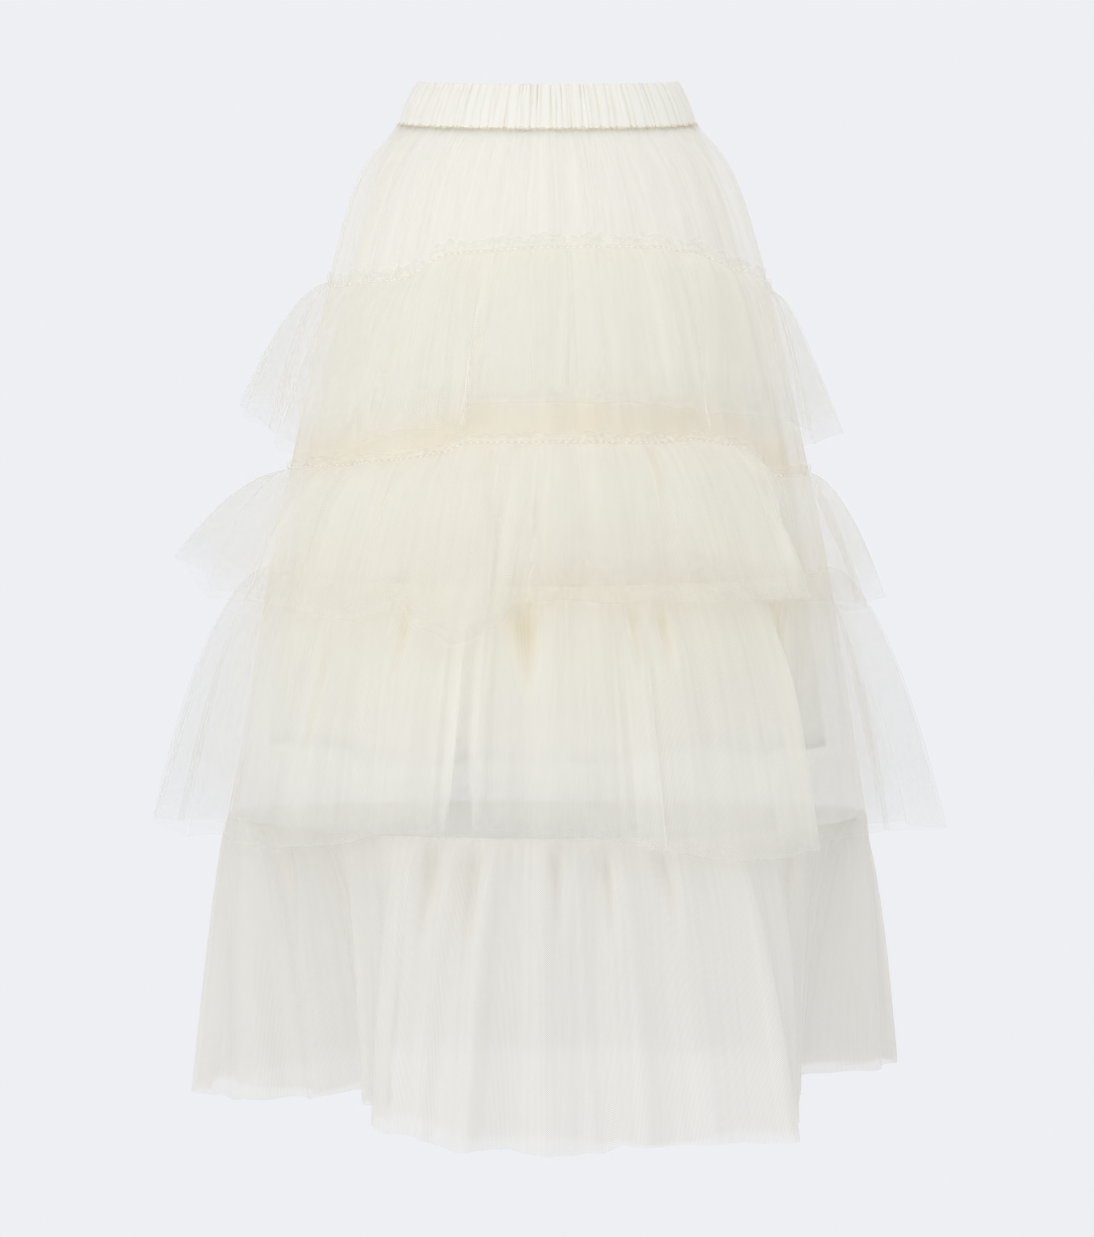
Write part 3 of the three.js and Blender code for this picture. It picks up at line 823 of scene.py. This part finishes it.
class SKIRT_OT_ruffle(bpy.types.Operator):
    """Makes one ruffle, of two layers of gathered net"""

    bl_idname = "skirt.ruffle"
    bl_label = "Ruffle"

    number: IntProperty(name="Ruffle", description="From the top", default=1, min=1, max=4)

    def execute(self, context):
        sizes, colours = context.scene.skirt_sizes, context.scene.skirt_colours
        ruffle = RUFFLES[self.number]
        name = f"ruffle_{self.number}"
        colour = shaded(colours.net, ruffle.tone)
        material = net_material(f"{name}_net", colour, ruffle.deep, sizes.net_cell)
        for layer, inset in (("outer", 0.0), ("inner", sizes.layer_gap / MM)):
            points, plain, fall, frill, crease = self.surface(ruffle, inset)
            seed = self.number * 10 + bool(inset) * 5
            cover = net_cover(points, plain, ruffle.cut, ruffle.cover, seed)
            cover *= 1 - ruffle.side_thin * np.cos(all_round(SHEET_COLUMNS)) ** 6
            cover *= (1 - 0.7 * frill**1.5) * (1 - self.hem_fade(ruffle, fall, bool(inset)))
            mesh = ring_mesh(f"{name}_{layer}", points, ruffle.cut, cover=cover, crease=crease)
            replaced = [f"{name}_front", f"{name}_back"] if layer == "outer" else []
            piece = new_piece(mesh, material, replaced)
            fall = np.linalg.norm(np.diff(points, axis=0), axis=-1).mean(axis=1).sum() * MM
        return {"FINISHED"}

    def hem_fade(self, ruffle, fall, inner):
        """How much thinner a layer gets towards its hem, the outer one most in front and at the back."""
        if ruffle.level == len(UNDERSKIRT) - 1:
            return 0.1 * fall**4
        if inner:
            return 0.97 * np.clip(fall * 4 - 3, 0, 1)
        angle = all_round(SHEET_COLUMNS)
        drop = eased(ruffle.hem, angle)[1]
        around = np.convolve(np.tile(drop, 3), np.full(HEM_SPAN, 1 / HEM_SPAN), "same")
        low = np.clip((drop - around[SHEET_COLUMNS:-SHEET_COLUMNS]) / 20, 0, 1)
        last_twelfth = np.clip(fall * 12 - 11, 0, 1)
        return 0.2 * np.clip(fall * 4 - 3, 0, 1) + (0.35 + 0.3 * low) * np.sin(angle) ** 2 * last_twelfth

    def surface(self, ruffle, inset):
        """One layer: its points with and without folds, where they lie on it, and how much painted shade
        its gathers and valleys get.
        """
        seed = ruffle.wave_seed + inset
        angle = all_round(SHEET_COLUMNS)
        reaches, drops = underskirt_levels(angle)
        top_reach, top_drop = reaches[ruffle.level], drops[ruffle.level]
        hem_reach, hem_drop = eased(ruffle.hem, angle)
        down = np.linspace(0, 1, RUFFLE_ROWS) ** 1.2
        if ruffle.heading:
            down = np.concatenate([np.linspace(-1, 0, HEADING_ROWS + 1)[:-1], down])
        down = down[:, None]
        fall, frill = np.clip(down, 0, 1), np.clip(-down, 0, 1)
        sewn_on = ruffle.level < len(UNDERSKIRT) - 1
        outset = NET_OUTSET if sewn_on else 0
        ragged = 1.4 * np.sin(17 * angle + seed) * np.sin(5 * angle + 3 * seed)
        ragged = ragged + 0.6 * np.sin(61 * angle + seed) * np.sin(14 * angle + 2 * seed)
        shorter = 9 + 5 * np.sin(5 * angle + seed) + 4 * np.sin(13 * angle + 2 * seed) if inset else 0
        hem_change = ragged - shorter
        reach = top_reach + (hem_reach - top_reach) * fall**ruffle.flare
        waves = ruffle.wave_depth * fall**0.7 * wave(angle, WAVES, ruffle.wave_seed)
        reach = reach + waves - inset * fall**0.5
        uneven = 1 + 0.16 * np.sin(23 * angle + seed) + 0.14 * np.sin(83 * angle + 2 * seed)
        heading = ruffle.heading * uneven
        drop = top_drop + (hem_drop + hem_change - top_drop) * fall - heading * frill
        plain = points_at(angle[None] + fall * swung(ruffle.pleats, angle), reach, drop)
        plain = moved_out(plain, outset * (1 - fall**0.3) + 0.8 * frill**1.5)
        gathers = gathered(angle[None], down * 2, ruffle.gathers, seed)
        folds = folded(angle[None], down, ruffle.folds, ruffle.wave_seed + 1)
        swell = 1.1 * (1 - np.exp(-fall / 0.05)) * np.exp(-fall / 0.13)
        gather_depth = 0.3 + swell - 0.15 * fall + 0.5 * frill
        fold_depth = ruffle.fold_depth * (1 - np.exp(-fall / 0.3)) + 1.4 * frill
        valley, valley_shade = valleys_at(ruffle.valleys, angle, fall)
        points = moved_out(plain, gathers * gather_depth + folds * fold_depth - valley)
        # Painted shade in the hollows of the gathers below the seam, and in the valleys.
        lines = (np.clip(-2.2 * gathers - 0.3, 0, 1) * 0.5 + 0.12) * np.exp(-fall / 0.14) * (1 - frill)
        return points, plain, fall, frill, np.clip(lines + valley_shade * 0.5, 0, 0.8)


class SKIRT_OT_stitches(bpy.types.Operator):
    """Makes the gathering stitches that hold ruffles 1 and 2"""

    bl_idname = "skirt.stitches"
    bl_label = "Gathering stitches"

    def execute(self, context):
        sizes, colours = context.scene.skirt_sizes, context.scene.skirt_colours
        angle = all_round(SHEET_COLUMNS)
        reaches, drops = underskirt_levels(angle)
        material = thread_material("thread", colours.thread)
        for number in (1, 2):
            level = RUFFLES[number].level
            seam = points_at(angle, reaches[level] + NET_OUTSET + STITCH_OUTSET, drops[level])
            mesh = self.dashes(f"gathering_stitches_{number}", seam * MM, sizes.stitch_length)
            new_piece(mesh, material)
        return {"FINISHED"}

    def dashes(self, name, seam, length):
        """Short rounded stitches along a closed row of points, each followed by a gap of its length."""
        ahead = np.roll(seam, -1, axis=0) - seam
        along = np.concatenate([[0], np.cumsum(np.linalg.norm(ahead, axis=1))])
        bm = bmesh.new()
        for at in np.arange(0, along[-1] - length, 2 * length):
            k = np.searchsorted(along, at, side="right") - 1
            step = ahead[k]
            place = seam[k] + step * (at - along[k]) / (along[k + 1] - along[k])
            turned = Matrix.Rotation(math.atan2(step[1], step[0]), 4, "Z")
            tilted = Matrix.Rotation(-math.atan2(step[2], math.hypot(step[0], step[1])), 4, "Y")
            shape = Matrix.Diagonal((length, THREAD_WIDTH * MM, THREAD_WIDTH * MM, 1))
            bmesh.ops.create_icosphere(
                bm, subdivisions=1, radius=0.5, matrix=Matrix.Translation(place) @ turned @ tilted @ shape
            )
        mesh = bpy.data.meshes.new(name)
        bm.to_mesh(mesh)
        bm.free()
        return mesh


class SKIRT_OT_stage(bpy.types.Operator):
    """Makes the floor, the surround, the lights and the camera"""

    bl_idname = "skirt.stage"
    bl_label = "Stage"

    def execute(self, context):
        scene = context.scene
        scene.view_settings.view_transform = "Standard"
        scene.cycles.transparent_max_bounces = 48
        scene.cycles.max_bounces = 12
        scene.cycles.diffuse_bounces = 10
        self.surround(scene)
        for lamp in LAMPS:
            self.light(*lamp)
        self.camera(scene)
        return {"FINISHED"}

    def surround(self, scene):
        colour = (*scene.skirt_colours.backdrop, 1)
        world = bpy.data.worlds.new("surround")
        world.use_nodes = True
        scene.world = world
        g = Graph(world)
        aside = g.node("ShaderNodeSeparateXYZ", {}, g.node("ShaderNodeTexCoord", {}))
        above = ((aside.other("Z") + 0.5) * 2.5).between(0, 1)
        flags = ((aside.maths("ABSOLUTE") - 0.4) * 2.5).between(0, 1)
        background = g.tree.nodes["Background"]
        background.inputs["Color"].default_value = colour
        lit = 0.85 + above * 0.15 - flags * 0.15
        # The camera sees it at full strength all round.
        seen = g.node("ShaderNodeLightPath", {})
        g.put(background.inputs["Strength"], lit + (1 - lit) * seen)
        bm = bmesh.new()
        bmesh.ops.create_circle(bm, cap_ends=True, segments=96, radius=FLOOR_RADIUS)
        level = CAD_BOX[0].z - scene.skirt_sizes.floor_clearance
        bmesh.ops.translate(bm, verts=bm.verts, vec=(0, 0, level))
        mesh = bpy.data.meshes.new("floor")
        bm.to_mesh(mesh)
        bm.free()
        g = Graph("floor")
        g.finish(Base_Color=(0, 0, 0, 1), Emission_Color=colour, Emission_Strength=1.0, Roughness=1.0)
        g.shader.inputs["Specular IOR Level"].default_value = 0
        mesh.materials.append(g.material)
        floor = bpy.data.objects.new("floor", mesh)
        scene.collection.objects.link(floor)
        floor.visible_diffuse = False

    def light(self, name, place, aim, size, power):
        lamp = bpy.data.lights.new(name, "AREA")
        lamp.size, lamp.energy = size, power
        light = bpy.data.objects.new(name, lamp)
        light.location = place
        direction = light.location - type(light.location)(aim)
        light.rotation_euler = direction.to_track_quat("Z", "Y").to_euler()
        bpy.context.scene.collection.objects.link(light)

    def camera(self, scene):
        lens = bpy.data.cameras.new("camera")
        lens.sensor_width = CAMERA_SENSOR
        lens.lens = CAMERA_SENSOR * CAMERA_DISTANCE / PICTURE_HEIGHT
        camera = bpy.data.objects.new("camera", lens)
        camera.location = (0, -CAMERA_DISTANCE, CAMERA_HEIGHT)
        camera.rotation_euler = (math.pi / 2, 0, 0)
        scene.collection.objects.link(camera)
        scene.camera = camera


class SKIRT_PT_panel(bpy.types.Panel):
    """Lists the pieces of the skirt"""

    bl_idname = "SKIRT_PT_panel"
    bl_label = "Tiered skirt"
    bl_space_type = "VIEW_3D"
    bl_region_type = "UI"
    bl_category = "Skirt"

    def draw(self, context):
        for group in (context.scene.skirt_sizes, context.scene.skirt_colours):
            column = self.layout.column()
            for name in group.__annotations__:
                column.prop(group, name)
        for operator in (SKIRT_OT_waistband, SKIRT_OT_underskirt, SKIRT_OT_lining):
            self.layout.operator(operator.bl_idname)
        for number in RUFFLES:
            self.layout.operator("skirt.ruffle", text=f"Ruffle {number}").number = number
        self.layout.operator("skirt.stitches")
        self.layout.operator("skirt.stage")


CLASSES = (
    SkirtSizes,
    SkirtColours,
    SKIRT_OT_waistband,
    SKIRT_OT_underskirt,
    SKIRT_OT_lining,
    SKIRT_OT_ruffle,
    SKIRT_OT_stitches,
    SKIRT_OT_stage,
    SKIRT_PT_panel,
)


def register():
    for cls in CLASSES:
        bpy.utils.register_class(cls)
    bpy.types.Scene.skirt_sizes = PointerProperty(type=SkirtSizes)
    bpy.types.Scene.skirt_colours = PointerProperty(type=SkirtColours)


def unregister():
    del bpy.types.Scene.skirt_colours
    del bpy.types.Scene.skirt_sizes
    for cls in reversed(CLASSES):
        bpy.utils.unregister_class(cls)


def main():
    register()
    bpy.ops.skirt.stage()
    bpy.ops.skirt.waistband()
    bpy.ops.skirt.underskirt()
    bpy.ops.skirt.lining()
    for number in RUFFLES:
        bpy.ops.skirt.ruffle(number=number)
    bpy.ops.skirt.stitches()


if __name__ == "__main__":
    main()
